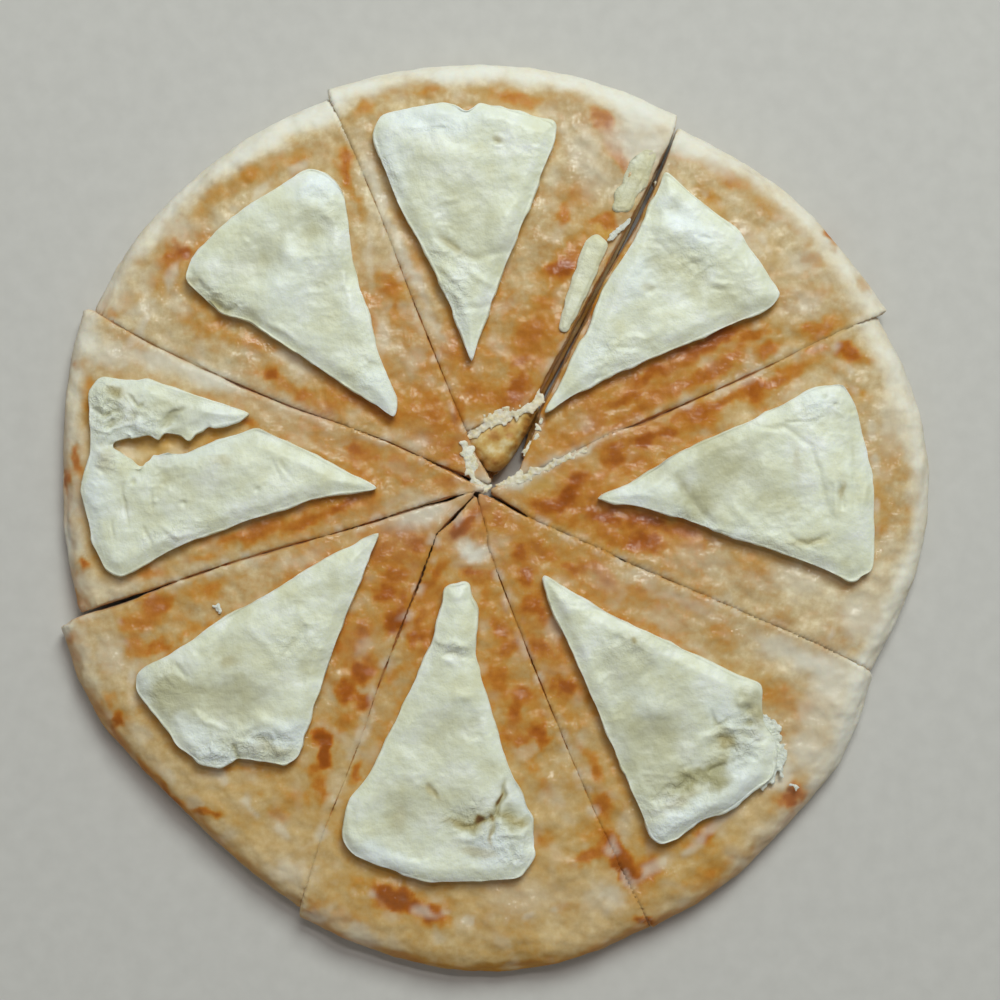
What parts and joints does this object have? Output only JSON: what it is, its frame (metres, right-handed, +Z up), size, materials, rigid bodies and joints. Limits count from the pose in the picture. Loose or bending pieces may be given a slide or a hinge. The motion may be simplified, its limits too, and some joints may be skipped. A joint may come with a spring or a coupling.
{
  "type": "khachapuri",
  "caption": "Round flat bread with a crumbled cheese filling, cut into wedges that still lie together, each with a slab of softened white cheese on its crust.",
  "frame": {"origin": "on the table under the middle of the bread's outline", "axes": "+Z up out of the crust; +Y towards the north slice, whose cheese has left strips of the next slab beside it; +X towards the east slice"},
  "size_m": [0.2696, 0.2822, 0.0207],
  "materials": {
    "crust": "satin",
    "crumbled_cheese": "matte",
    "soft_cheese": "satin"
  },
  "bodies": {
    "root": {"dough_north": "crust", "filling_north": "crumbled_cheese", "cheese_north": "soft_cheese", "dough_northeast": "crust", "filling_northeast": "crumbled_cheese", "cheese_northeast": "soft_cheese", "dough_east": "crust", "filling_east": "crumbled_cheese", "cheese_east": "soft_cheese", "dough_southeast": "crust", "filling_southeast": "crumbled_cheese", "cheese_southeast": "soft_cheese", "dough_south": "crust", "filling_south": "crumbled_cheese", "cheese_south": "soft_cheese", "dough_southwest": "crust", "filling_southwest": "crumbled_cheese", "cheese_southwest": "soft_cheese", "dough_west": "crust", "filling_west": "crumbled_cheese", "cheese_west": "soft_cheese", "dough_northwest": "crust", "filling_northwest": "crumbled_cheese", "cheese_northwest": "soft_cheese", "cheese_strip_long": "soft_cheese", "cheese_strip_thin": "soft_cheese"}
  },
  "joints": []
}
